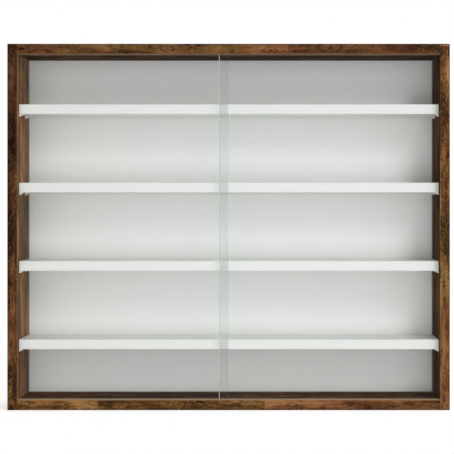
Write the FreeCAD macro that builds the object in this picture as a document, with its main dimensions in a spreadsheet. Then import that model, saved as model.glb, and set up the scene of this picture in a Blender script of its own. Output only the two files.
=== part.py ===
"""Wall display cabinet with four shelves behind two sliding glass panes.

Millimetres. +Z is up, -Y is the front, and the origin is the middle of the underside.
"""
import FreeCAD, Part
import os
import re

import Sketcher

# Driving sizes
SIZES = {
    # Carcass: two full-height sides with the top and bottom boards butted between them
    "cabinet_width": 720,
    "cabinet_height": 596,
    "cabinet_depth": 95,
    "board": 16,
    "edge_band": 1,
    # Back panel, held in a groove that runs round the inside of the carcass
    "back_thickness": 3,
    "rear_void": 7,
    "back_side_play": 0.1,
    "back_end_play": 0.5,
    # Shelves, evenly spaced between a lowest and a highest bay of the same clear height
    "shelf_thickness": 16,
    "end_bay_height": 81.3,
    "shelf_behind_runner": 0.3,
    "shelf_rear_gap": 1,
    "shelf_end_gap": 0.5,
    # Shelf supports: a pin in the side board and a three-cornered ledge under the shelf
    "support_front_inset": 4.5,
    "support_rear_inset": 20,
    "support_reach": 6,
    "support_width": 6,
    "support_drop": 3.6,
    "support_lip": 1.2,
    "support_plate": 1.6,
    "support_pin_radius": 1.5,
    "support_pin_length": 8,
    # Glass panes
    "glass": 3,
    "glass_bevel": 0.8,
    "pane_overlap": 14.9,
    "pane_overlap_offset": 8.3,
    "pane_side_gap": 0.5,
    "pane_seat_gap": 0.1,
    "pane_top_hold": 5,
    "pane_lift_spare": 0.5,
    # Runners let into the top and bottom boards, with a flange that covers the groove's rims
    "runner_setback": 1,
    "runner_flange": 0.8,
    "runner_flange_thickness": 1.2,
    "runner_wall": 1,
    "runner_divider": 1.4,
    "runner_floor": 1,
    "runner_play": 0.3,
    "runner_end_gap": 0.3,
    "bottom_channel_depth": 4,
    # Corner joints: two dowels and one cam fitting each
    "side_web": 4,
    "dowel_radius": 4,
    "dowel_length": 30,
    "dowel_front_setback": 27,
    "dowel_rear_setback": 22,
    "cam_radius": 7.5,
    "cam_web": 3.5,
    "cam_inset": 34,
    "cam_slot_width": 1.6,
    "cam_slot_length": 9,
    "cam_slot_depth": 2,
    "bolt_thread_radius": 2.5,
    "bolt_collar_radius": 3.8,
    "bolt_collar_length": 3,
    "bolt_shank_radius": 2.8,
    "bolt_head_radius": 3.4,
    "bolt_head_length": 3,
    "bolt_neck_radius": 1.9,
    "bolt_neck_length": 3,
    "bolt_past_cam_axis": 2,
    # Hanger plates, let flush into the rear edges of the sides
    "hanger_thickness": 1.5,
    "hanger_below_top": 60,
    "hanger_outer_rim": 1.5,
    "hanger_inner_rim": 6,
    "hanger_end_rim": 6,
    "hanger_corner": 3,
    "keyhole_radius": 5,
    "keyhole_slot_radius": 2.5,
    "keyhole_rise": 11,
    "keyhole_to_side": 7,
    "screw_spacing": 26,
    "screw_radius": 1.75,
    "screw_length": 16,
    "screw_head_radius": 3,
    "screw_slot_width": 0.9,
    "screw_slot_length": 3.6,
    "screw_slot_depth": 1,
    "screw_to_groove": 1.7,
    # Fits
    "fit_play": 0.05,
    "recess_play": 0.1,
    "hole_spare": 1,
    "cut_overrun": 2,
}

SHELF_COUNT = 4

# Shares of the sizes that they follow
BACK_GROOVE_SHARE = 0.3125
BAND_ROUND_SHARE = 0.7
SUPPORT_ROUND_SHARE = 0.35

# Places and sizes worked out from the driving sizes, as formulas of the same sheet
PLACES = {
    "half_width": "cabinet_width / 2",
    "inner_half": "half_width - board",
    "front": "-cabinet_depth / 2",
    "rear": "cabinet_depth / 2",
    "core_front": "front + edge_band",
    "ceiling": "cabinet_height - board",
    "band_round": f"edge_band * {BAND_ROUND_SHARE}",
    "back_rear": "rear - rear_void",
    "back_front": "back_rear - back_thickness",
    "back_groove_depth": f"board * {BACK_GROOVE_SHARE}",
    "back_reach": "back_groove_depth - back_end_play",
    "channel": "glass + 2 * runner_play",
    "runner_front": "front + runner_setback",
    "runner_body_front": "runner_front + runner_flange",
    "front_channel": "runner_body_front + runner_wall",
    "divider_front": "front_channel + channel",
    "rear_channel": "divider_front + runner_divider",
    "rear_wall_front": "rear_channel + channel",
    "runner_body_rear": "rear_wall_front + runner_wall",
    "runner_rear": "runner_body_rear + runner_flange",
    "runner_half": "inner_half - runner_end_gap",
    "top_channel_depth": "pane_top_hold + bottom_channel_depth + pane_lift_spare",
    "shelf_front": "runner_rear + shelf_behind_runner",
    "shelf_rear": "back_front - shelf_rear_gap",
    "shelf_half": "inner_half - shelf_end_gap",
    "lowest_shelf": "board + end_bay_height",
    "highest_shelf": "ceiling - end_bay_height - shelf_thickness",
    "shelf_pitch": f"(highest_shelf - lowest_shelf) / {SHELF_COUNT - 1}",
    "support_front": "shelf_front + support_front_inset",
    "support_rear": "shelf_rear - support_rear_inset",
    "support_axis_drop": "support_drop / 2",
    "support_round": f"support_lip * {SUPPORT_ROUND_SHARE}",
    "overlap_left": "-pane_overlap_offset - pane_overlap / 2",
    "overlap_right": "-pane_overlap_offset + pane_overlap / 2",
    "pane_half": "inner_half - pane_side_gap",
    "pane_bottom": "board - bottom_channel_depth + pane_seat_gap",
    "pane_top": "ceiling + pane_top_hold",
    "dowel_front": "front + dowel_front_setback",
    "dowel_rear": "rear - dowel_rear_setback",
    "side_hole_depth": "board - side_web",
    "dowel_in_side": "side_hole_depth - hole_spare",
    "dowel_in_board": "dowel_length - dowel_in_side",
    "bolt_thread_length": "side_hole_depth - hole_spare",
    "cam_axis": "(dowel_front + dowel_rear) / 2",
    "cam_centre": "inner_half - cam_inset",
    "cam_height": "board - cam_web",
    "board_middle": "board / 2",
    "bolt_tip": "cam_centre - bolt_past_cam_axis",
    "hanger_front": "rear - hanger_thickness",
    "hanger_middle": "cabinet_height - hanger_below_top",
    "screw_side": "inner_half + back_groove_depth + screw_to_groove + screw_radius",
    "screw_low": "hanger_middle - screw_spacing / 2",
    "screw_high": "hanger_middle + screw_spacing / 2",
    "keyhole_side": "inner_half - keyhole_to_side - keyhole_radius",
    "keyhole_low": "hanger_middle - keyhole_rise / 2",
    "keyhole_high": "hanger_middle + keyhole_rise / 2",
    "hanger_outer": "screw_side + screw_head_radius + hanger_outer_rim",
    "hanger_inner": "keyhole_side - keyhole_radius - hanger_inner_rim",
    "hanger_low": "screw_low - screw_head_radius - hanger_end_rim",
    "hanger_high": "screw_high + screw_head_radius + hanger_end_rim",
}

# The shelves from the lowest up, each with its number of pitches above the lowest
SHELVES = {f"shelf_{number + 1}": number for number in range(SHELF_COUNT)}

# The two hands of the cabinet, with the sign of X on each, and its two level boards
HANDS = {"left": -1, "right": 1}
LEVELS = ("top", "bottom")

# Turns a cylinder or cone that stands along Z to lie along X or Y
ALONG_X = FreeCAD.Rotation(FreeCAD.Vector(0, 1, 0), 90)
ALONG_Y = FreeCAD.Rotation(FreeCAD.Vector(1, 0, 0), -90)
UPRIGHT = FreeCAD.Rotation()

doc = FreeCAD.newDocument("wall_display_cabinet")
sheet = doc.addObject("Spreadsheet::Sheet", "Sizes")
parts = []


def fill_sheet():
    """Writes the driving sizes as numbers and the places as formulas, each under its own alias."""
    texts = {name: str(value) for name, value in SIZES.items()}
    texts.update({name: f"={formula}" for name, formula in PLACES.items()})
    for row, (name, text) in enumerate(texts.items(), start=1):
        sheet.set(f"A{row}", name)
        sheet.set(f"B{row}", text)
        sheet.setAlias(f"B{row}", name)
    doc.recompute()


def in_sheet(formula):
    """The formula with every name in it looked up in the sheet."""
    return re.sub(r"[a-z_]+", lambda word: f"Sizes.{word.group()}", formula)


def bind(thing, path, formula):
    thing.setExpression(path, in_sheet(formula))


def value_of(formula):
    return float(sheet.evalExpression(in_sheet(formula)))


def place(thing, corner, turn=UPRIGHT):
    thing.Placement = FreeCAD.Placement(FreeCAD.Vector(), turn)
    for axis, formula in zip("xyz", corner):
        bind(thing, f"Placement.Base.{axis}", formula)


def minus(formula):
    return f"-({formula})"


def mirrored_span(low, high, side):
    """A span along X as it lies on the right (side 1) or mirrored to the left (side -1)."""
    return (low, high) if side > 0 else (minus(high), minus(low))


def on_side(distance, side):
    """A distance from the middle, as a place along X on the right or the left."""
    return distance if side > 0 else minus(distance)


def around(middle, half):
    """A span that reaches half to each side of its middle."""
    return f"{middle} - {half}", f"{middle} + {half}"


def block(name, spans):
    """A box from three spans, each a low and a high formula along X, Y and Z."""
    box = doc.addObject("Part::Box", name)
    place(box, [low for low, high in spans])
    for path, (low, high) in zip(("Length", "Width", "Height"), spans):
        bind(box, path, f"({high}) - ({low})")
    return box


def rod(name, radius, length, start, turn=UPRIGHT):
    """A cylinder from its start along Z, or along X or Y when turned."""
    cylinder = doc.addObject("Part::Cylinder", name)
    place(cylinder, start, turn)
    bind(cylinder, "Radius", radius)
    bind(cylinder, "Height", length)
    return cylinder


def side_rod(name, radius, span, y, z, side):
    """A cylinder along X over a span that is mirrored for the left side."""
    low, high = mirrored_span(*span, side)
    return rod(name, radius, f"({high}) - ({low})", (low, y, z), ALONG_X)


def fuse(name, shapes):
    joined = doc.addObject("Part::MultiFuse", name)
    joined.Shapes = shapes
    return joined


def cut(name, base, tools):
    """The base with all tools taken out of it, checked to have lost volume."""
    trimmed = doc.addObject("Part::Cut", name)
    trimmed.Base = base
    trimmed.Tool = fuse(f"{name}_cuts", tools)
    doc.recompute()
    assert trimmed.Shape.Volume < base.Shape.Volume, f"{name}: the cuts miss the solid"
    return trimmed


def group(name, solids):
    """Equal pieces of one kind, kept as separate solids of one sub-part."""
    bundle = doc.addObject("Part::Compound", name)
    bundle.Links = solids
    return bundle


def sub_part(thing, label):
    thing.Label = label
    parts.append(thing)


def body(name):
    return doc.addObject("PartDesign::Body", name)


def sketch_on(owner, role, name, offset):
    """An empty sketch on one of the body's origin planes, moved along the plane's normal."""
    plane = next(feature for feature in owner.Origin.OriginFeatures if feature.Role == role)
    drawing = owner.newObject("Sketcher::SketchObject", name)
    drawing.AttachmentSupport = [(plane, "")]
    drawing.MapMode = "FlatFace"
    bind(drawing, "AttachmentOffset.Base.z", offset)
    return drawing


def hold_point(drawing, index, end, corner):
    """Holds one point of a sketch at two bound distances from the sketch's origin."""
    for kind, formula in zip(("DistanceX", "DistanceY"), corner):
        rule = Sketcher.Constraint(kind, -1, 1, index, end, value_of(formula))
        number = drawing.addConstraint(rule)
        bind(drawing, f"Constraints[{number}]", formula)


def draw_outline(drawing, corners):
    """A closed ring of straight edges through the corners, each a pair of formulas."""
    points = [FreeCAD.Vector(value_of(u), value_of(v), 0) for u, v in corners]
    first = drawing.GeometryCount
    for start, end in zip(points, points[1:] + points[:1]):
        drawing.addGeometry(Part.LineSegment(start, end), False)
    for step, corner in enumerate(corners):
        following = first + (step + 1) % len(corners)
        drawing.addConstraint(Sketcher.Constraint("Coincident", first + step, 2, following, 1))
        hold_point(drawing, first + step, 1, corner)


def pad(owner, drawing, length):
    feature = owner.newObject("PartDesign::Pad", "Pad")
    feature.Profile = drawing
    bind(feature, "Length", length)
    doc.recompute()
    return feature


def rectangle(u_span, v_span):
    (left, right), (low, high) = u_span, v_span
    return [(left, low), (right, low), (right, high), (left, high)]


def edge_names(feature, wanted):
    """The names of the feature's edges for which the test holds."""
    edges = enumerate(feature.Shape.Edges, start=1)
    return [f"Edge{number}" for number, edge in edges if wanted(edge)]


def runs_along(edge, axis):
    span = edge.BoundBox
    return max(span.XLength, span.YLength, span.ZLength) == getattr(span, f"{axis}Length")


def near(one, other):
    return abs(one - other) < value_of("fit_play")


def dressed(owner, kind, base, edges, path, size):
    """A fillet or chamfer of the named edges, which becomes the body's tip."""
    feature = owner.newObject(f"PartDesign::{kind}", kind)
    feature.Base = (base, edges)
    bind(feature, path, size)
    owner.Tip = feature
    doc.recompute()
    return feature


def front_band(label, x_span, z_span, long_axis, face="front"):
    """An edge band on a board's front edge, with its two long front corners rounded."""
    owner = body(label)
    core = f"{face} + edge_band"
    drawing = sketch_on(owner, "XZ_Plane", f"{label}_outline", minus(core))
    draw_outline(drawing, rectangle(x_span, z_span))
    strip = pad(owner, drawing, "edge_band")
    outer = value_of(face)
    long_front = edge_names(strip, lambda e: runs_along(e, long_axis) and near(e.CenterOfMass.y, outer))
    dressed(owner, "Fillet", strip, long_front, "Radius", "band_round")
    sub_part(owner, label)


def board_line(level):
    """The height of the middle of the top or bottom board."""
    return "cabinet_height - board_middle" if level == "top" else "board_middle"


def side_panel(label, side):
    """A full-height side with its back groove, joint holes, support holes and hanger recess."""
    x_span = mirrored_span("inner_half", "half_width", side)
    core = block(f"{label}_core", [x_span, ("core_front", "rear"), ("0", "cabinet_height")])
    cuts = [block(f"{label}_back_groove", [
        mirrored_span("inner_half - cut_overrun", "inner_half + back_groove_depth", side),
        ("back_front - back_side_play", "back_rear + back_side_play"),
        ("board - back_groove_depth", "ceiling + back_groove_depth")])]
    inward = "inner_half - cut_overrun"
    for level in LEVELS:
        for y in ("dowel_front", "dowel_rear"):
            cuts.append(side_rod(f"{label}_{level}_{y}_hole", "dowel_radius + fit_play",
                                 (inward, "inner_half + side_hole_depth"),
                                 y, board_line(level), side))
        cuts.append(side_rod(f"{label}_{level}_bolt_hole", "bolt_thread_radius + fit_play",
                             (inward, "inner_half + side_hole_depth"),
                             "cam_axis", board_line(level), side))
    for shelf in SHELVES:
        for y in ("support_front", "support_rear"):
            cuts.append(side_rod(f"{label}_{shelf}_{y}_hole", "support_pin_radius + fit_play",
                                 (inward, "inner_half + support_pin_length + hole_spare"),
                                 y, f"{shelf_underside(shelf)} - support_axis_drop", side))
    cuts.append(block(f"{label}_hanger_recess", [
        mirrored_span(inward, "hanger_outer + recess_play", side),
        ("hanger_front", "rear + cut_overrun"),
        ("hanger_low - recess_play", "hanger_high + recess_play")]))
    hole_end = "rear - screw_length - hole_spare"
    for height in ("screw_low", "screw_high"):
        cuts.append(rod(f"{label}_{height}_hole", "screw_radius + fit_play", "screw_length + hole_spare",
                        (on_side("screw_side", side), hole_end, height), ALONG_Y))
    sub_part(cut(f"{label}_board", core, cuts), label)


def level_span(level, near_depth, far_depth):
    """A span of depths into the top or bottom board, counted from its inner face."""
    if level == "top":
        return f"ceiling + ({near_depth})", f"ceiling + ({far_depth})"
    return f"board - ({far_depth})", f"board - ({near_depth})"


def end_panel(label, level):
    """The top or bottom board with its back groove, runner groove and joint holes."""
    outer = level_span(level, "0", "board")
    core = block(f"{label}_core", [("-inner_half", "inner_half"), ("core_front", "rear"), outer])
    over = ("-inner_half - cut_overrun", "inner_half + cut_overrun")
    cuts = [
        block(f"{label}_back_groove", [
            over, ("back_front - back_side_play", "back_rear + back_side_play"),
            level_span(level, "-cut_overrun", "back_groove_depth")]),
        block(f"{label}_runner_groove", [
            over, ("runner_body_front - fit_play", "runner_body_rear + fit_play"),
            level_span(level, "-cut_overrun", f"{level}_channel_depth + runner_floor")]),
    ]
    cam_span = level_span(level, "board - cam_height", "board + cut_overrun")
    for hand, side in HANDS.items():
        beyond = "inner_half + cut_overrun"
        for y in ("dowel_front", "dowel_rear"):
            cuts.append(side_rod(f"{label}_{hand}_{y}_hole", "dowel_radius + fit_play",
                                 ("inner_half - dowel_in_board - hole_spare", beyond),
                                 y, board_line(level), side))
        cuts.append(side_rod(f"{label}_{hand}_bolt_hole", "bolt_collar_radius + fit_play",
                             ("cam_centre", beyond), "cam_axis", board_line(level), side))
        centre = on_side("cam_centre", side)
        cuts.append(rod(f"{label}_{hand}_cam_bore", "cam_radius + fit_play",
                        f"({cam_span[1]}) - ({cam_span[0]})", (centre, "cam_axis", cam_span[0])))
    sub_part(cut(f"{label}_board", core, cuts), label)


def back_panel():
    reach = ("-inner_half - back_reach", "inner_half + back_reach")
    rise = ("board - back_reach", "ceiling + back_reach")
    sub_part(block("back_panel_sheet", [reach, ("back_front", "back_rear"), rise]), "back_panel")


def shelf_underside(shelf):
    return f"lowest_shelf + {SHELVES[shelf]} * shelf_pitch"


def shelf_board(shelf):
    rise = (shelf_underside(shelf), f"{shelf_underside(shelf)} + shelf_thickness")
    x_span = ("-shelf_half", "shelf_half")
    core = block(f"{shelf}_core", [x_span, ("shelf_front + edge_band", "shelf_rear"), rise])
    sub_part(core, shelf)
    front_band(f"{shelf}_edge_band", x_span, rise, "X", "shelf_front")


def support(name, y, shelf, side):
    """One shelf support: a sloping three-cornered ledge with a pin that goes into the side board."""
    owner = body(name)
    drawing = sketch_on(owner, "XZ_Plane", f"{name}_profile", f"-({y}) - support_width / 2")
    seat = shelf_underside(shelf)
    profile = [
        ("inner_half", seat),
        ("inner_half - support_reach", seat),
        ("inner_half - support_reach", f"{seat} - support_lip"),
        ("inner_half - support_plate", f"{seat} - support_drop"),
        ("inner_half", f"{seat} - support_drop"),
    ]
    if side < 0:
        profile = [(minus(u), v) for u, v in profile]
    draw_outline(drawing, profile)
    ledge = pad(owner, drawing, "support_width")
    tip = value_of("inner_half - support_reach")
    rims = edge_names(ledge, lambda e: near(abs(e.CenterOfMass.x), tip) and not runs_along(e, "Y"))
    dressed(owner, "Fillet", ledge, rims, "Radius", "support_round")
    pin = side_rod(f"{name}_pin", "support_pin_radius", ("inner_half", "inner_half + support_pin_length"),
                   y, f"{seat} - support_axis_drop", side)
    return fuse(f"{name}_piece", [owner, pin])


def shelf_supports(shelf):
    pieces = []
    for hand, side in HANDS.items():
        for y in ("support_front", "support_rear"):
            pieces.append(support(f"{shelf}_{hand}_{y}", y, shelf, side))
    sub_part(group(f"{shelf}_support_set", pieces), f"{shelf}_supports")


def glass_pane(label, x_span, channel):
    """A glass pane in its channel, with all its long edges ground to a small bevel."""
    owner = body(label)
    rear_face = f"{channel} + runner_play + glass"
    drawing = sketch_on(owner, "XZ_Plane", f"{label}_outline", minus(rear_face))
    draw_outline(drawing, rectangle(x_span, ("pane_bottom", "pane_top")))
    sheet_of_glass = pad(owner, drawing, "glass")
    rims = edge_names(sheet_of_glass, lambda e: not runs_along(e, "Y"))
    dressed(owner, "Chamfer", sheet_of_glass, rims, "Size", "glass_bevel")
    sub_part(owner, label)


def runner(label, level):
    """A runner with two channels, whose flanges lie on the board beside the groove."""
    owner = body(label)
    drawing = sketch_on(owner, "YZ_Plane", f"{label}_profile", "-runner_half")
    depth = f"{level}_channel_depth"
    face, into = ("ceiling", "+") if level == "top" else ("board", "-")
    rim = f"{face} {into} (-runner_flange_thickness)"
    floor = f"{face} {into} {depth}"
    under = f"{face} {into} ({depth} + runner_floor)"
    draw_outline(drawing, [
        ("runner_front", face), ("runner_front", rim),
        ("front_channel", rim), ("front_channel", floor),
        ("divider_front", floor), ("divider_front", rim),
        ("rear_channel", rim), ("rear_channel", floor),
        ("rear_wall_front", floor), ("rear_wall_front", rim),
        ("runner_rear", rim), ("runner_rear", face),
        ("runner_body_rear", face), ("runner_body_rear", under),
        ("runner_body_front", under), ("runner_body_front", face),
    ])
    pad(owner, drawing, "2 * runner_half")
    sub_part(owner, label)


def dowels(level):
    pieces = []
    for hand, side in HANDS.items():
        for y in ("dowel_front", "dowel_rear"):
            span = ("inner_half - dowel_in_board", "inner_half + dowel_in_side")
            name = f"{level}_{hand}_{y}_pin"
            pieces.append(side_rod(name, "dowel_radius", span, y, board_line(level), side))
    sub_part(group(f"{level}_dowel_set", pieces), f"{level}_dowels")


def cam_bolt(name, level, side):
    """A bolt that is screwed into the side and reaches into the cam with its head."""
    height = board_line(level)
    stations = [
        ("thread", "bolt_thread_radius", "inner_half", "inner_half + bolt_thread_length"),
        ("collar", "bolt_collar_radius", "inner_half - bolt_collar_length", "inner_half"),
        ("shank", "bolt_shank_radius", "bolt_tip + bolt_head_length + bolt_neck_length",
         "inner_half - bolt_collar_length"),
        ("neck", "bolt_neck_radius", "bolt_tip + bolt_head_length",
         "bolt_tip + bolt_head_length + bolt_neck_length"),
        ("head", "bolt_head_radius", "bolt_tip", "bolt_tip + bolt_head_length"),
    ]
    turned = []
    for part, radius, low, high in stations:
        turned.append(side_rod(f"{name}_{part}", radius, (low, high), "cam_axis", height, side))
    return fuse(name, turned)


def cross_slots(name, kind, spans_of):
    """The two crossed slots that a screwdriver turns, each from its half length and half width."""
    half = (f"{kind}_slot_length / 2", f"{kind}_slot_width / 2")
    turns = {"long": half, "cross": half[::-1]}
    return [block(f"{name}_{turn}_slot", spans_of(*halves)) for turn, halves in turns.items()]


def cam_lock(name, level, side):
    """A cam with its bolt passage and a cross slot in the face that a screwdriver turns."""
    span = level_span(level, "board - cam_height", "board")
    centre = on_side("cam_centre", side)
    drum = rod(f"{name}_drum", "cam_radius", f"({span[1]}) - ({span[0]})", (centre, "cam_axis", span[0]))
    passage = side_rod(f"{name}_passage", "bolt_head_radius + recess_play",
                       ("bolt_tip - recess_play", "cam_centre + cam_radius + cut_overrun"),
                       "cam_axis", board_line(level), side)
    slot_rise = level_span(level, "board - cam_slot_depth", "board + cut_overrun")
    slots = cross_slots(name, "cam", lambda along, across: [
        around(centre, along), around("cam_axis", across), slot_rise])
    return cut(name, drum, [passage] + slots)


def cam_fittings(level):
    locks = []
    bolts = []
    for hand, side in HANDS.items():
        locks.append(cam_lock(f"{level}_{hand}_cam", level, side))
        bolts.append(cam_bolt(f"{level}_{hand}_bolt", level, side))
    sub_part(group(f"{level}_cam_set", locks), f"{level}_cam_locks")
    sub_part(group(f"{level}_bolt_set", bolts), f"{level}_cam_bolts")


def screw_head(name, centre, height, play):
    """The tapered head of a hanger screw, flush with the plate's outer face."""
    cone = doc.addObject("Part::Cone", name)
    place(cone, (centre, "hanger_front", height), ALONG_Y)
    bind(cone, "Radius1", f"screw_radius + {play}")
    bind(cone, "Radius2", f"screw_head_radius + {play}")
    bind(cone, "Height", "hanger_thickness")
    return cone


def hanger(hand, side):
    """A steel plate with a keyhole, held by two screws in the rear edge of a side."""
    label = f"{hand}_hanger_plate"
    owner = body(f"{label}_blank")
    drawing = sketch_on(owner, "XZ_Plane", f"{label}_outline", "-rear")
    x_span = mirrored_span("hanger_inner", "hanger_outer", side)
    draw_outline(drawing, rectangle(x_span, ("hanger_low", "hanger_high")))
    plate = pad(owner, drawing, "hanger_thickness")
    corners = edge_names(plate, lambda e: runs_along(e, "Y"))
    dressed(owner, "Fillet", plate, corners, "Radius", "hanger_corner")
    centre = on_side("keyhole_side", side)
    start = "hanger_front - cut_overrun"
    through = "hanger_thickness + 2 * cut_overrun"
    keyhole = [
        rod(f"{label}_eye", "keyhole_radius", through, (centre, start, "keyhole_low"), ALONG_Y),
        rod(f"{label}_slot_end", "keyhole_slot_radius", through,
            (centre, start, "keyhole_high"), ALONG_Y),
        block(f"{label}_slot", [
            around(centre, "keyhole_slot_radius"),
            (start, f"{start} + {through}"), ("keyhole_low", "keyhole_high")]),
    ]
    screw_line = on_side("screw_side", side)
    heads = ("screw_low", "screw_high")
    sinks = [screw_head(f"{label}_{height}_sink", screw_line, height, "fit_play") for height in heads]
    sub_part(cut(f"{label}_cut", owner, keyhole + sinks), label)
    screws = []
    for height in heads:
        name = f"{hand}_hanger_{height}"
        head = screw_head(f"{name}_head", screw_line, height, "0")
        shank = rod(f"{name}_shank", "screw_radius", "screw_length - hanger_thickness",
                    (screw_line, "rear - screw_length", height), ALONG_Y)
        slots = cross_slots(name, "screw", lambda along, across: [
            around(screw_line, along), ("rear - screw_slot_depth", "rear + cut_overrun"),
            around(height, across)])
        screws.append(cut(name, fuse(f"{name}_blank", [head, shank]), slots))
    sub_part(group(f"{hand}_screw_set", screws), f"{hand}_hanger_screws")


def build():
    fill_sheet()
    for hand, side in HANDS.items():
        side_panel(f"{hand}_side_panel", side)
        front_band(f"{hand}_side_edge_band", mirrored_span("inner_half", "half_width", side),
                   ("0", "cabinet_height"), "Z")
        hanger(hand, side)
    for level in LEVELS:
        end_panel(f"{level}_panel", level)
        rise = level_span(level, "0", "board")
        front_band(f"{level}_edge_band", ("-inner_half", "inner_half"), rise, "X")
        runner(f"{level}_runner", level)
        dowels(level)
        cam_fittings(level)
    back_panel()
    for shelf in SHELVES:
        shelf_board(shelf)
        shelf_supports(shelf)
    glass_pane("left_glass_door", ("-pane_half", "overlap_right"), "rear_channel")
    glass_pane("right_glass_door", ("overlap_left", "pane_half"), "front_channel")
    doc.recompute()


def export():
    """Checks every object and then writes each sub-part under its label."""
    for thing in doc.Objects:
        assert not {"Invalid", "Error"} & set(thing.State), f"{thing.Label}: {thing.State}"
    for part in parts:
        assert not part.Shape.isNull() and part.Shape.isValid(), f"{part.Label}: bad shape"
    os.makedirs("parts", exist_ok=True)
    for part in parts:
        part.Shape.exportStep(f"parts/{part.Label}.step")
        print(part.Label, len(part.Shape.Solids), round(part.Shape.Volume))


build()
export()
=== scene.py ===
# %% [markdown]
# # A wall display cabinet, dressed for its picture
# The real object is a shallow collector's cabinet: four dark boards in an old-wood decor, a white
# back, four white shelves and two sliding glass panes. Every solid already comes from the CAD model,
# so this lesson only adds what CAD leaves out: finishes, light and a camera.

import math

import bpy
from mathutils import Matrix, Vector


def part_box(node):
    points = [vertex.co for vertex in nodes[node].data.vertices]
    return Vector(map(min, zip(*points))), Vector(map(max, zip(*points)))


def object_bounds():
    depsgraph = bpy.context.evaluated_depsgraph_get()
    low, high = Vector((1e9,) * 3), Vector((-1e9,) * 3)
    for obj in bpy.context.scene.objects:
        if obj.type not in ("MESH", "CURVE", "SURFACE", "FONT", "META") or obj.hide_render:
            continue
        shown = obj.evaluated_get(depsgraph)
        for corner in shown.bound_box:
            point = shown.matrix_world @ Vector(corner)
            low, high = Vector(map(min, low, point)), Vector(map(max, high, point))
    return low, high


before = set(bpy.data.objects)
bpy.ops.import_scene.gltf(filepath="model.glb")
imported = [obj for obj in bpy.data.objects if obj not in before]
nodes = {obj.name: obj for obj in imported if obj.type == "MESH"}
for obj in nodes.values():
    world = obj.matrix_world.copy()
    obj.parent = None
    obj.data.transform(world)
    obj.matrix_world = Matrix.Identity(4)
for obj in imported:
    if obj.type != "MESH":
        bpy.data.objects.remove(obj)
cad_box = [list(corner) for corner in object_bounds()]
print("nodes:", len(nodes), "box in metres:", cad_box)

# %% [markdown]
# ## The camera
# The picture is taken nearly straight from the front, so the frame stays a true rectangle, but the eye
# is a little right of the middle and above it: the left inner face shows more than the right one. A
# turned camera would make the frame's edges run together. A camera that looks straight ahead and is
# shifted, as a view camera is, keeps them upright and still shows the inner faces.

# %% Camera
PICTURE = 454
SENSOR = 36.0
FRONT_DISTANCE = 1.900
FOCAL_PIXELS = 1168.0
EYE_RIGHT = 0.0749
EYE_HEIGHT = 0.3288
VANISHING_POINT = (274.6, 208.0)

scene = bpy.context.scene
front_y = cad_box[0][1]
camera_data = bpy.data.cameras.new("view_camera")
camera_data.sensor_width = SENSOR
camera_data.lens = FOCAL_PIXELS * SENSOR / PICTURE
camera_data.shift_x = 0.5 - VANISHING_POINT[0] / PICTURE
camera_data.shift_y = VANISHING_POINT[1] / PICTURE - 0.5
camera = bpy.data.objects.new("view_camera", camera_data)
camera.location = (EYE_RIGHT, front_y - FRONT_DISTANCE, EYE_HEIGHT)
camera.rotation_euler = (math.radians(90), 0, 0)
scene.collection.objects.link(camera)
scene.camera = camera
print("lens in mm:", round(camera_data.lens, 2), "shift:", camera_data.shift_x, camera_data.shift_y)

# %% [markdown]
# ## Writing shaders as sums
# A finish is a web of nodes, and placing each by hand hides what it does. A small class wraps a node's
# output, so that `1 - mask` or `grain * 0.4 + 0.3` adds the Math nodes by itself. Every other node,
# such as a noise or a ramp, comes from its one method.

# %% The wire class
class Wire:
    """An output socket of a node tree. Sums on wires add Math nodes to that tree."""

    def __init__(self, tree, socket=None):
        self.tree = tree
        self.socket = socket

    def node(self, kind, settings=None, sockets=None, out=0):
        """Adds a node: its settings first, then the values or wires of its sockets."""
        made = self.tree.nodes.new("ShaderNode" + kind)
        for name, value in (settings or {}).items():
            if name == "stops":
                set_stops(made.color_ramp, value)
            else:
                setattr(made, name, value)
        for name, value in (sockets or {}).items():
            if isinstance(value, Wire):
                self.tree.links.new(value.socket, made.inputs[name])
            else:
                made.inputs[name].default_value = value
        return Wire(self.tree, made.outputs[out] if made.outputs else None)

    def other(self, name):
        """Another output of the same node."""
        return Wire(self.tree, self.socket.node.outputs[name])

    def math(self, operation, first, second):
        return self.node("Math", {"operation": operation}, {0: first, 1: second})

    def __add__(self, other):
        return self.math("ADD", self, other)

    def __sub__(self, other):
        return self.math("SUBTRACT", self, other)

    def __rsub__(self, other):
        return self.math("SUBTRACT", other, self)

    def __mul__(self, other):
        return self.math("MULTIPLY", self, other)

    def __pow__(self, other):
        return self.math("POWER", self, other)

    def __neg__(self):
        return self.math("SUBTRACT", 0.0, self)

    def __gt__(self, other):
        return self.math("GREATER_THAN", self, other)

    def __abs__(self):
        return self.math("ABSOLUTE", self, 0.0)

    __radd__ = __add__
    __rmul__ = __mul__


def set_stops(ramp, stops):
    """Gives a ramp its stops, each a place from 0 to 1 and a colour."""
    while len(ramp.elements) < len(stops):
        ramp.elements.new(1.0)
    for element, (place, colour) in zip(ramp.elements, stops):
        element.position = place
        element.color = colour


def new_finish(name):
    """An empty material, a wire that adds nodes to it, and the place on the object."""
    material = bpy.data.materials.new(name)
    material.use_nodes = True
    material.node_tree.nodes.clear()
    paint = Wire(material.node_tree)
    return material, paint, paint.node("TexCoord", out="Object")


def dress(material, *names):
    """Gives the material to the named CAD nodes in place of their plain one."""
    for name in names:
        nodes[name].data.materials.clear()
        nodes[name].data.materials.append(material)
    print(material.name, "on", len(names), "nodes")

# %% [markdown]
# ## Colours and small helpers
# Colours are easier to judge as the 0 to 255 numbers of a picture, but shaders work in linear light.
# One function converts them. The others are the few patterns that several finishes share: mixing two
# colours, a soft step that cuts a mask from a noise, and noise that is stretched along the grain.

# %% Helpers for colours, masks and noise
SCREEN_GAMMA = 2.2


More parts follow.
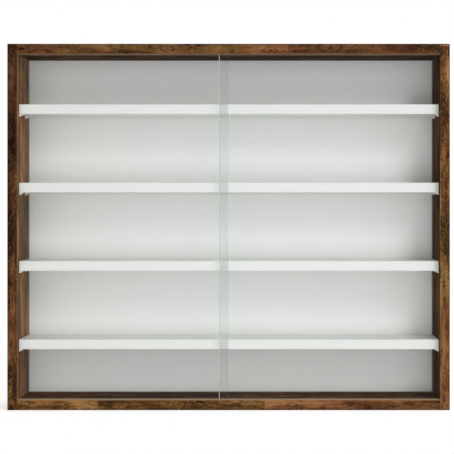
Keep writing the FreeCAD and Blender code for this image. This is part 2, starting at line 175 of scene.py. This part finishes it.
def tint(red, green, blue):
    """A picture's 0 to 255 colour as linear light."""
    return (*[(c / 255) ** SCREEN_GAMMA for c in (red, green, blue)], 1.0)


def mixed(paint, share, first, second, how="MIX"):
    """Two colours mixed by a share."""
    return paint.node("Mix", {"data_type": "RGBA", "blend_type": how},
                      {0: share, 6: first, 7: second}, out=2)


def step(paint, value, low, high):
    """A mask that rises softly from 0 to 1 between low and high."""
    return paint.node("MapRange", {"interpolation_type": "SMOOTHSTEP"},
                      {"Value": value, "From Min": low, "From Max": high})


def scaled(paint, place, scale, seed):
    """Coordinates stretched by a scale for each axis, moved to another part of the pattern."""
    return paint.node("VectorMath", {"operation": "MULTIPLY_ADD"},
                      {0: place, 1: scale, 2: (seed, 1.7 * seed, 0.6 * seed)})


def noise(paint, place, scale, seed, detail=2.0, rough=0.5, distortion=0.0):
    return paint.node("TexNoise", {}, {
        "Vector": scaled(paint, place, scale, seed), "Scale": 1.0, "Detail": detail,
        "Roughness": rough, "Distortion": distortion})


def bumped(paint, height, strength, distance):
    return paint.node("Bump", {}, {"Height": height, "Strength": strength, "Distance": distance})


def axes(paint, vector):
    """The first of a vector's three values. Its other outputs are Y and Z."""
    return paint.node("SeparateXYZ", {}, {"Vector": vector}, out="X")


def show(paint, shader):
    """Makes the shader the finish's surface."""
    paint.node("OutputMaterial", {}, {"Surface": shader})


def surface(paint, sockets):
    """The shader with these sockets, as the finish's surface."""
    show(paint, paint.node("BsdfPrincipled", {}, sockets))


print("helpers ready, white paper is", [round(c, 3) for c in tint(228, 230, 225)])

# %% [markdown]
# ## The old-wood decor
# The frame's boards are chipboard with a printed paper of weathered planks: reddish and olive patches,
# dark stains, small knots and clusters of dark specks, all drawn out along the board. A photo of wood
# would be an image texture, which this lesson does without. Several noises, each stretched along the
# grain by its own amount, give the same layers and never repeat.

# %% Grain, planks and knots
PLANK_ROWS = 21.0
PLANK_ENDS = 8.0
KNOT_ROWS = 26.0
SPOT_ROWS = 85.0
SEAM_AT_END = 0.006
SEAM_AT_SIDE = 0.014
KNOT_CORE = (0.05, 0.16)
KNOT_RING = (0.17, 0.22, 0.30)


def grain_frame(paint, place, lengthways):
    """Coordinates turned so that their Z runs along the board, and on its ends from front to rear."""
    x = axes(paint, place)
    y, z = x.other("Y"), x.other("Z")
    if lengthways == "X":
        return paint.node("CombineXYZ", {}, {"X": y, "Y": z, "Z": x}), x, y
    ends = step(paint, abs(facing(paint).other("Z")), 0.5, 0.9)
    turned = paint.node("CombineXYZ", {}, {"X": x, "Y": z, "Z": y})
    return mixed(paint, ends, place, turned), z, y


def planks(paint, along, depth, seed):
    """A random tone for each printed plank, and a mask of the dark seams between planks."""
    rows = depth * PLANK_ROWS + 0.5
    row = paint.math("FLOOR", rows, 0.0)
    across = paint.math("FRACT", rows, 0.0)
    place = along * PLANK_ENDS + row * 3.7 + seed
    one_way = {"voronoi_dimensions": "1D"}
    cell = paint.node("TexVoronoi", one_way, {"W": place, "Scale": 1.0}, out="Color")
    ends = paint.node("TexVoronoi", {**one_way, "feature": "DISTANCE_TO_EDGE"}, {"W": place, "Scale": 1.0})
    tones = axes(paint, cell)
    rim = 0.5 - abs(across - 0.5)
    seam = paint.math("MINIMUM", step(paint, ends, 0.0, SEAM_AT_END),
                      step(paint, rim, 0.0, SEAM_AT_SIDE))
    return tones, tones.other("Y"), 1 - seam


def knots(paint, grain, rows, spread, seed, rarity):
    """A mask of scattered oval knots, each a dark core inside a thin ring, with so many rows a metre."""
    warp = noise(paint, grain, (3.5 * rows, 3.5 * rows, 1.5 * rows), seed + 23, detail=3.0)
    cells = paint.node("TexVoronoi", {}, {
        "Vector": scaled(paint, grain, (rows, rows, 0.4 * rows), seed + 29), "Scale": 1.0})
    chosen = axes(paint, cells.other("Color")) > rarity
    reach = cells + 0.16 * (warp - 0.5)
    core = 1 - step(paint, reach, *[radius * spread for radius in KNOT_CORE])
    inside, middle, outside = [radius * spread for radius in KNOT_RING]
    ring = step(paint, reach, inside, middle) * (1 - step(paint, reach, middle, outside))
    return paint.math("MAXIMUM", core, ring * 0.6) * chosen


print("planks are", round(1000 / PLANK_ROWS), "mm wide and about", round(1000 / PLANK_ENDS), "mm long")

# %% [markdown]
# ## Raw edges
# On such boards only the edges that show get a band, and the rear edges stay raw: pale and dark
# splinters pressed together. A mask finds those faces by the direction in which they look, so one
# finish serves the whole board and no face has to be picked by hand.

# %% Raw chipboard
CHIP_ROWS = 900.0


def facing(paint):
    """The direction in which a face looks, as three values."""
    look = paint.node("NewGeometry", out="Normal")
    return axes(paint, look)


def chips(paint, place):
    """The colour of raw chipboard: bent splinters of many tones, with finer ones between them."""
    bend = noise(paint, place, (260, 260, 260), 4.0).other("Color")
    bent = paint.node("VectorMath", {"operation": "MULTIPLY_ADD"}, {
        0: bend, 1: (1.8, 1.8, 1.8), 2: scaled(paint, place, (CHIP_ROWS, CHIP_ROWS, 560), 5)})
    cells = paint.node("TexVoronoi", {}, {"Vector": bent, "Scale": 1.0}, out="Color")
    fine = noise(paint, place, (2400, 2400, 1500), 6.0, detail=3.0, rough=0.7)
    shade = axes(paint, cells) * 0.5 + fine * 0.9 - 0.2
    return paint.node("ValToRGB", {"stops": [
        (0.1, tint(122, 90, 58)), (0.5, tint(176, 142, 102)), (0.9, tint(212, 184, 144))]}, {"Fac": shade})


print("chips are about", round(1000 / CHIP_ROWS, 1), "mm across")

# %% [markdown]
# ## Putting the decor on the boards
# The four boards differ, as cut-offs of one long print do: the left front edge is the darkest, most of
# all at its top, and the right one the lightest. Each board gets its own part of the pattern by a seed,
# and a level at its two ends. The inner faces have long streaks and painted light of their own: the left
# one is painted brighter and gets a painted whitish sheen, as lit from the right, and the right, top and
# bottom ones are painted darker, as shade. The bands are glued strips of the same print, darkened along
# their outer rim and with a painted highlight along the inner one. Masks for this come from the place and
# the direction of a face, so every board shares one function.

# %% Old-wood finish
RED_TONES = [(0.30, (50, 29, 16)), (0.44, (88, 55, 32)), (0.56, (115, 73, 44)), (0.70, (144, 101, 66))]
OLIVE_TONES = [(0.30, (42, 29, 15)), (0.44, (78, 55, 28)), (0.56, (102, 73, 39)), (0.70, (134, 101, 60))]
BOARD_SPAN = {"X": (cad_box[0][0], cad_box[1][0]), "Z": (cad_box[0][2], cad_box[1][2])}
BOARD = 0.016
HALF_WIDTH, HALF_HEIGHT = cad_box[1][0], cad_box[1][2] / 2
OUTER_RIM = (0.0014, 0.0003)
INNER_RIM = (0.0157, 0.0148)


def from_middle(paint, place):
    """How far a place is from the cabinet's middle, sideways and upright."""
    x = axes(paint, place)
    return abs(x), abs(x.other("Z") - HALF_HEIGHT)


def rim_step(paint, distance, reach, insets):
    """A mask that rises towards the rim at that reach, between two insets from it."""
    return step(paint, distance, reach - insets[0], reach - insets[1])


def band_rims(paint, place, lengthways):
    """Masks of the outer rim of a front band, which is dark, and of its inner rim, which gets a painted
    highlight.
    """
    sideways, upright = from_middle(paint, place)
    outer = paint.math("MAXIMUM", rim_step(paint, sideways, HALF_WIDTH, OUTER_RIM),
                       rim_step(paint, upright, HALF_HEIGHT, OUTER_RIM))
    across, reach = (sideways, HALF_WIDTH) if lengthways == "Z" else (upright, HALF_HEIGHT)
    return outer, 1 - rim_step(paint, across, reach, INNER_RIM)


def old_wood(name, lengthways, seed, levels=(1.0, 1.0), olive=0.5, bold=1.0, inside=None):
    """The printed decor with its grain along X or Z, levels for its two ends, its share of olive and how
    bold its marks are. For a board, inside is the axis, direction, painted light level and painted whitish
    sheen of its inner face, and its rear edge is raw chipboard."""
    material, paint, place = new_finish(name)
    grain, along, depth = grain_frame(paint, place, lengthways)
    tone, hue, seam = planks(paint, along, depth, seed)
    patch = noise(paint, grain, (60, 60, 16), seed, detail=2.0, distortion=0.3)
    dash = noise(paint, grain, (480, 480, 110), seed + 3, detail=3.0, rough=0.65)
    streak = noise(paint, grain, (260, 260, 9), seed + 5, detail=3.0)
    fibre = noise(paint, grain, (1300, 1300, 60), seed + 7, detail=2.0)
    stain = noise(paint, grain, (95, 95, 32), seed + 11, detail=3.0, rough=0.6)
    speck = noise(paint, grain, (520, 520, 290), seed + 17, detail=1.0)
    cluster = noise(paint, grain, (50, 50, 18), seed + 19, detail=2.0)
    marks = (patch - 0.5) * 0.75 + (tone - 0.5) * 0.2 + (dash - 0.5) * 0.5 + (streak - 0.5) * 0.4
    value = 0.5 + marks * bold
    red = paint.node("ValToRGB", {"stops": [(at, tint(*c)) for at, c in RED_TONES]}, {"Fac": value})
    green = paint.node("ValToRGB", {"stops": [(at, tint(*c)) for at, c in OLIVE_TONES]}, {"Fac": value})
    leaning = cluster + (hue - 0.5) * 0.5 + (olive - 0.5)
    colour = mixed(paint, step(paint, leaning, 0.35, 0.65), red, green)
    dark, pale = tint(34, 21, 12), tint(166, 120, 80)
    worn = step(paint, cluster, 0.42, 0.56)
    colour = mixed(paint, step(paint, stain, 0.58, 0.66) * (0.45 * bold), colour, dark)
    colour = mixed(paint, step(paint, speck, 0.60, 0.66) * worn * (0.6 * bold), colour, dark)
    colour = mixed(paint, (1 - step(paint, speck, 0.34, 0.40)) * worn * 0.35, colour, pale)
    spots = paint.math("MAXIMUM", knots(paint, grain, KNOT_ROWS, 1.0, seed, 0.45),
                       knots(paint, grain, SPOT_ROWS, 1.8, seed + 50, 0.6))
    colour = mixed(paint, paint.math("MAXIMUM", spots, seam * 0.5), colour, dark)
    low, high = BOARD_SPAN[lengthways]
    level = paint.node("MapRange", {}, {
        "Value": along, "From Min": low, "From Max": high, "To Min": levels[0], "To Max": levels[1]})
    level = level * (0.7 + 0.6 * fibre)
    rough = 0.55 + 0.2 * fibre
    if inside:
        axis, way, painted_light_level, painted_sheen = inside
        look = facing(paint)
        lines = noise(paint, grain, (58, 58, 2), seed + 37, detail=3.0, rough=0.7)
        level = level * (0.6 + 0.8 * step(paint, lines, 0.36, 0.64))
        inner = step(paint, look.other(axis) * way, 0.5, 0.9)
        rear = step(paint, look.other("Y"), 0.5, 0.9)
        # Painted light: the inner face's level makes it brighter where lit from the right and darker in
        # shade.
        colour = mixed(paint, 1.0, colour, level * (1 + (painted_light_level - 1) * inner), "MULTIPLY")
        # A painted whitish sheen on the inner face, standing in for its reflection of the white back.
        colour = mixed(paint, inner * painted_sheen, colour, tint(140, 120, 102))
        colour = mixed(paint, rear, colour, chips(paint, place))
        rough = rough + 0.35 * inner + 0.2 * rear
    else:
        outer, inner = band_rims(paint, place, lengthways)
        colour = mixed(paint, 1.0, colour, level, "MULTIPLY")
        # A darkened outer rim, and a painted highlight as a pale line along the inner rim.
        colour = mixed(paint, inner * 0.2, mixed(paint, outer * 0.75, colour, dark), pale)
    relief = bumped(paint, streak * 0.5 + fibre * 0.4 - seam * 0.4, 0.3, 0.0004)
    surface(paint, {"Base Color": colour, "Roughness": rough, "Normal": relief, "Specular IOR Level": 0.1})
    return material


# The inner faces carry painted light: the left one brighter with a painted sheen, the right, top and bottom
# ones darker as painted shade.
dress(old_wood("old_wood_left_board", "Z", 2.0, inside=("X", 1, 1.5, 0.3)), "left_side_panel")
dress(old_wood("old_wood_right_board", "Z", 5.0, inside=("X", -1, 0.55, 0.0)), "right_side_panel")
dress(old_wood("old_wood_top_board", "X", 9.0, inside=("Z", -1, 0.36, 0.0)), "top_panel")
dress(old_wood("old_wood_bottom_board", "X", 13.0, inside=("Z", 1, 0.58, 0.0)), "bottom_panel")
dress(old_wood("old_wood_left_band", "Z", 149.0, levels=(1.03, 0.36)), "left_side_edge_band")
dress(old_wood("old_wood_right_band", "Z", 368.0, levels=(0.76, 1.55), olive=0.55, bold=1.35),
      "right_side_edge_band")
dress(old_wood("old_wood_top_band", "X", 441.0, levels=(0.92, 0.92), olive=0.4, bold=0.75), "top_edge_band")
dress(old_wood("old_wood_bottom_band", "X", 667.3, levels=(1.64, 0.70), olive=0.45), "bottom_edge_band")

# %% [markdown]
# ## White boards, white back and hardboard
# The shelves and the back are white, and at this size white must not be one flat number: faced board
# has a faint pearl texture that breaks up the gloss. The back is thin hardboard, lacquered white in
# front and brown with a pressed screen pattern behind, so its finish depends on the side one looks at.
# A thin dark line round the white side is painted shade in the corners where the panel meets the boards.

# %% White finishes
SIDE_CORNER_SHADE = (0.0026, 0.0016)
END_CORNER_SHADE = (0.0016, 0.0008)


def white_board(name, colour):
    material, paint, place = new_finish(name)
    pearl = noise(paint, place, (1100, 1100, 1100), 1.0, detail=3.0)
    cloud = noise(paint, place, (9, 9, 9), 4.0)
    pale = mixed(paint, cloud * 0.25, colour, tint(222, 221, 214))
    rear = step(paint, facing(paint).other("Y"), 0.5, 0.9)
    surface(paint, {
        "Base Color": mixed(paint, rear, pale, chips(paint, place)),
        "Roughness": 0.38 + 0.15 * pearl + 0.3 * rear,
        "Normal": bumped(paint, pearl, 0.12, 0.0002), "IOR": 1.45})
    return material


def white_band(name, colour):
    material, paint, place = new_finish(name)
    pearl = noise(paint, place, (900, 900, 900), 2.0, detail=2.0)
    surface(paint, {
        "Base Color": mixed(paint, pearl * 0.2, colour, tint(220, 220, 214)),
        "Roughness": 0.34 + 0.16 * pearl,
        "Normal": bumped(paint, pearl, 0.1, 0.0002), "IOR": 1.45})
    return material


def back_board(name):
    material, paint, place = new_finish(name)
    pearl = noise(paint, place, (700, 700, 700), 3.0, detail=2.0)
    cloud = noise(paint, place, (400, 400, 400), 6.0, detail=4.0, rough=0.7)
    threads = {"Vector": scaled(paint, place, (300, 300, 300), 0.0), "Scale": 1.0}
    weft = paint.node("TexWave", {"bands_direction": "X"}, threads, out="Fac")
    warp = paint.node("TexWave", {"bands_direction": "Z"}, threads, out="Fac")
    mesh = paint.math("MAXIMUM", weft, warp)
    rear = step(paint, facing(paint).other("Y"), 0.3, 0.7)
    white = mixed(paint, pearl * 0.2, tint(230, 231, 229), tint(223, 224, 222))
    sideways, upright = from_middle(paint, place)
    # Painted shade: a thin dark line in the corners where the white side meets the boards.
    corner_shade = paint.math("MAXIMUM", rim_step(paint, sideways, HALF_WIDTH - BOARD, SIDE_CORNER_SHADE),
                       rim_step(paint, upright, HALF_HEIGHT - BOARD, END_CORNER_SHADE))
    white = mixed(paint, corner_shade * 0.8, white, tint(52, 42, 32))
    blotch = noise(paint, place, (18, 18, 18), 7.0, detail=3.0)
    fleck = step(paint, noise(paint, place, (150, 150, 150), 8.0, detail=5.0, rough=0.75), 0.3, 0.7)
    brown = mixed(paint, 0.2 * cloud + 0.25 * blotch + 0.55 * fleck, tint(96, 66, 40), tint(164, 124, 84))
    brown = mixed(paint, mesh * 0.25, brown, tint(84, 56, 34))
    surface(paint, {
        "Base Color": mixed(paint, rear, white, brown),
        "Roughness": 0.42 + 0.1 * pearl + 0.3 * rear,
        "Normal": bumped(paint, pearl * (1 - rear) * 0.3 + mesh * rear, 0.2, 0.0003), "IOR": 1.45})
    return material


SHELVES = ["shelf_1", "shelf_2", "shelf_3", "shelf_4"]
dress(white_board("white_faced_board", tint(231, 232, 230)), *SHELVES)
dress(white_band("white_edge_band", tint(232, 233, 231)), *[f"{shelf}_edge_band" for shelf in SHELVES])
dress(back_board("white_back_board"), "back_panel")

# %% [markdown]
# ## Clear glass with ground edges
# Window glass shows itself by three things: it mirrors more the flatter one looks along it, it takes a
# little of the light that goes through, and its edges are green. A glass shader that bends light would
# put everything behind it in the shade of the lamps. For a thin flat pane, letting the light straight
# through and adding the mirror by hand looks the same and lights the shelves properly. The inner edge
# of the front pane is ground: its bevel catches the light, and beside it runs a thin dark line.

# %% Glass
MIRROR_SHARE = 0.025
DARK_LINE = (0.0006, 0.0010, 0.0015, 0.0022)
BEVEL = (0.0012, 0.0016)
CLEAR = (0.991, 0.995, 0.993, 1.0)
DIM = (0.86, 0.88, 0.87, 1.0)
CLEAR_RIM = (0.97, 0.985, 0.98, 1.0)


def pane_glass(name, inner_edge, way, line):
    """Clear glass for one pane. Its inner edge is at that x, with the pane on the way side of it, and the
    line is how strongly that ground edge shows from the front."""
    material, paint, place = new_finish(name)
    grazing = paint.node("LayerWeight", {}, {"Blend": 0.5}, out="Facing")
    mirror = MIRROR_SHARE + (1 - MIRROR_SHARE) * grazing ** 5.0
    turned = abs(facing(paint).other("Y"))
    ground = noise(paint, place, (900, 900, 900), 8.0, detail=3.0)
    inset = (axes(paint, place) - inner_edge) * way
    beside = step(paint, inset, *DARK_LINE[:2]) * (1 - step(paint, inset, *DARK_LINE[2:]))
    clear = paint.node("BsdfTransparent", {}, {"Color": CLEAR})
    dim = paint.node("BsdfTransparent", {}, {"Color": DIM})
    gloss = paint.node("BsdfPrincipled", {}, {
        "Base Color": (1.0, 1.0, 1.0, 1.0), "Metallic": 1.0, "Roughness": 0.02})
    through = paint.node("MixShader", {}, {0: beside * line, 1: clear, 2: dim})
    flat = paint.node("MixShader", {}, {0: mirror, 1: through, 2: gloss})
    rim_clear = paint.node("BsdfTransparent", {}, {"Color": CLEAR_RIM})
    rim_body = paint.node("BsdfPrincipled", {}, {
        "Base Color": mixed(paint, ground, tint(62, 98, 84), tint(96, 136, 120)),
        "Roughness": 0.25 + 0.2 * ground, "IOR": 1.5})
    straight_on = (1 - step(paint, turned, 0.2, 0.6)) * (1 - step(paint, grazing, 0.3, 0.8))
    rim = paint.node("MixShader", {}, {0: 0.015 + 0.16 * straight_on, 1: rim_clear, 2: rim_body})
    arris = step(paint, turned, 0.5, 0.65) * (1 - step(paint, inset, *BEVEL)) * line * 0.8
    frosted = paint.node("BsdfPrincipled", {}, {
        "Base Color": mixed(paint, ground, tint(240, 246, 244), tint(224, 232, 229)), "Roughness": 0.6})
    rim = paint.node("MixShader", {}, {0: arris, 1: rim, 2: frosted})
    whole = paint.node("MixShader", {}, {0: step(paint, turned, 0.80, 0.95), 1: rim, 2: flat})
    show(paint, whole)
    return material


rear_edge, front_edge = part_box("left_glass_door")[1][0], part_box("right_glass_door")[0][0]
dress(pane_glass("rear_pane_glass", rear_edge, -1, 0.1), "left_glass_door")
dress(pane_glass("front_pane_glass", front_edge, 1, 1.0), "right_glass_door")

# %% [markdown]
# ## Plastic, metal and beech
# The runners are extruded in brown plastic, with fine lines along their length, and the lower one is
# painted paler, as a painted highlight where its top catches the light from above. The shelf supports are
# moulded in white. Cams are cast zinc and dull, hangers and screws are plated and brighter, with the
# clouds and crystals that zinc has. The dowels are beech and stay hidden in the joints. One function for
# each kind of stuff is enough, because only colours and scales differ.

# %% Small parts
def plain_plastic(name, colour, worn, lines):
    material, paint, place = new_finish(name)
    drawn = noise(paint, place, lines, 3.0, detail=3.0)
    surface(paint, {
        "Base Color": mixed(paint, drawn * 0.5, colour, worn),
        "Roughness": 0.32 + 0.2 * drawn,
        "Normal": bumped(paint, drawn, 0.1, 0.0002), "IOR": 1.47})
    return material


def zinc(name, bright, dull, rough):
    material, paint, place = new_finish(name)
    bloom = noise(paint, place, (220, 220, 220), 5.0, detail=4.0, rough=0.65)
    spangle = paint.node("TexVoronoi", {}, {
        "Vector": scaled(paint, place, (240, 240, 240), 3.0), "Scale": 1.0}, out="Color")
    cloud = 0.6 * bloom + 0.4 * axes(paint, spangle)
    grit = noise(paint, place, (2600, 2600, 2600), 9.0)
    surface(paint, {
        "Base Color": mixed(paint, cloud, bright, dull), "Metallic": 1.0,
        "Roughness": rough + 0.22 * cloud,
        "Normal": bumped(paint, grit, 0.15, 0.0001)})
    return material


def beech(name):
    material, paint, place = new_finish(name)
    pores = noise(paint, place, (40, 900, 900), 2.0, detail=3.0)
    surface(paint, {
        "Base Color": mixed(paint, pores, tint(206, 164, 118), tint(176, 130, 86)),
        "Roughness": 0.5 + 0.2 * pores, "Normal": bumped(paint, pores, 0.2, 0.0002)})
    return material


dress(plain_plastic("brown_runner_plastic", tint(118, 90, 66), tint(96, 70, 50), (30, 2000, 2000)),
      "top_runner")
# The lower runner's paler colour is a painted highlight of light from above.
dress(plain_plastic("highlit_runner_plastic", tint(156, 128, 100), tint(130, 104, 80), (30, 2000, 2000)),
      "bottom_runner")
dress(plain_plastic("white_support_plastic", tint(228, 228, 222), tint(214, 214, 206), (500, 500, 500)),
      *[f"{shelf}_supports" for shelf in SHELVES])
dress(zinc("cast_zinc", tint(176, 178, 180), tint(150, 152, 154), 0.38), "top_cam_locks", "bottom_cam_locks")
dress(zinc("zinc_plating", tint(196, 199, 204), tint(146, 149, 155), 0.2),
      "left_hanger_plate", "right_hanger_plate", "left_hanger_screws", "right_hanger_screws",
      "top_cam_bolts", "bottom_cam_bolts")
dress(beech("beech_dowel"), "top_dowels", "bottom_dowels")

# %% [markdown]
# ## Floor and surroundings
# The picture has a plain white ground. Turning the lamps up until a floor is white would wash out the
# cabinet as well. Instead the floor and the world only look white where the camera, a mirror or the
# glass sees them, and the light that they cast stays at a plain level. The floor keeps its own shading
# under that, so the contact shadow stays. It fades out and ends soon in front, where light comes up from
# below, and from beneath it is clear, so that the underside can be looked at.
# In front the room is dim, as it is behind a photographer, so that the glass stays clear.

# %% Floor and world
FLOOR_HALF = 3.0
FLOOR_FRONT = 0.14
FADE_FRONT = 0.06
FADE_ROUND = (1.2, 2.4)
FLOOR_WHITE = (0.80, 0.80, 0.80, 1.0)
FLOOR_GLOW = (0.55, 0.55, 0.55, 1.0)
BLACK = (0.0, 0.0, 0.0, 1.0)
WHITE = (1.0, 1.0, 1.0, 1.0)
ROOM_IN_FRONT, ROOM_BEHIND, ROOM_BELOW = 0.10, 0.35, 0.62


def seen(paint, behind):
    """1 where the camera looks, and where a mirror or the glass shows what is behind the cabinet."""
    path = paint.node("LightPath", out="Is Camera Ray")
    shown = paint.math("MAXIMUM", path.other("Is Glossy Ray"), path.other("Is Transmission Ray")) * behind
    return paint.math("MAXIMUM", path, shown)


def white_floor(name):
    """A matte floor that fades out into the white surroundings and is clear from beneath."""
    material, paint, place = new_finish(name)
    depth = axes(paint, place).other("Y")
    reach = paint.node("VectorMath", {"operation": "LENGTH"}, {0: place}, out="Value")
    fade = paint.math("MAXIMUM", step(paint, reach, *FADE_ROUND),
                      step(paint, -depth, FADE_FRONT, FLOOR_FRONT))
    fade = paint.math("MAXIMUM", fade, paint.node("NewGeometry", out="Backfacing"))
    matte = paint.node("BsdfDiffuse", {}, {"Color": FLOOR_WHITE})
    shown = seen(paint, step(paint, depth, -0.1, 0.1))
    glow = paint.node("Emission", {}, {"Color": mixed(paint, shown, BLACK, FLOOR_GLOW)})
    both = paint.node("AddShader", {}, {0: matte, 1: glow})
    gone = paint.node("BsdfTransparent", {}, {})
    whole = paint.node("MixShader", {}, {0: fade, 1: both, 2: gone})
    show(paint, whole)
    return material


floor_mesh = bpy.data.meshes.new("studio_floor")
corners = [(x, y, -0.0005) for y in (-FLOOR_FRONT, FLOOR_HALF) for x in (-FLOOR_HALF, FLOOR_HALF)]
floor_mesh.from_pydata(corners, [], [(0, 1, 3, 2)])
floor = bpy.data.objects.new("studio_floor", floor_mesh)
floor_mesh.materials.append(white_floor("studio_floor_white"))
scene.collection.objects.link(floor)

studio = bpy.data.worlds.new("studio")
studio.use_nodes = True
studio.node_tree.nodes.clear()
scene.world = studio
sky = Wire(studio.node_tree)
heading = axes(sky, sky.node("TexCoord", out="Generated"))
behind = step(sky, heading.other("Y"), -0.75, 0.1)
below = step(sky, -heading.other("Z"), 0.1, 0.5) * (1 - behind)
room = ROOM_IN_FRONT + ROOM_BEHIND * behind + ROOM_BELOW * below
level = room + (1 - room) * seen(sky, behind)
glow = sky.node("Background", {}, {"Color": WHITE, "Strength": level})
sky.node("OutputWorld", {}, {"Surface": glow})
print("floor", 2 * FLOOR_HALF, "m wide, world set")

# %% [markdown]
# ## Light
# In the picture each bay is a little darker under its shelf and gets brighter downwards, with no hard
# shadow anywhere, the left inner face is bright and the right one dark. One small lamp would draw sharp
# shadows of the shelves. So a wide bank in front, a little to the right, does most, and the glass doesn't
# mirror it. A small weaker lamp from the upper right adds the slope, and a low one close in front opens
# up the bottom bay, whose dark floor throws little light back. One behind lights the rear when the
# cabinet is seen from there. Lamps are aimed at the middle of the cabinet.

# %% Lamps
MIDDLE = Vector((0.0, 0.0, 0.30))


def softbox(name, turn, rise, distance, size, power, mirrored=True):
    """A lamp that stands turn degrees to the right, rise degrees up, and faces the cabinet."""
    data = bpy.data.lights.new(name, "AREA")
    data.shape = "RECTANGLE"
    data.size, data.size_y = size
    data.energy = power
    lamp = bpy.data.objects.new(name, data)
    a, e = math.radians(turn), math.radians(rise)
    back = Vector((math.sin(a) * math.cos(e), -math.cos(a) * math.cos(e), math.sin(e)))
    lamp.location = MIDDLE + distance * back
    lamp.rotation_euler = back.to_track_quat("Z", "Y").to_euler()
    lamp.visible_glossy = mirrored
    scene.collection.objects.link(lamp)
    print(name, "at", [round(c, 2) for c in lamp.location], "with", power, "W")


softbox("key_light", 35, 37, 3.2, (0.8, 0.8), 32)
softbox("fill_light", 8, 11, 3.5, (8.5, 3.2), 91, mirrored=False)
softbox("low_light", 5, -16, 1.0, (1.2, 0.4), 2.8, mirrored=False)
softbox("rear_light", 160, 40, 3.5, (2.0, 2.0), 30)

# %% [markdown]
# ## Last steps
# Standard colour keeps a written colour as it is.

# %% Colour setting
scene.view_settings.view_transform = "Standard"
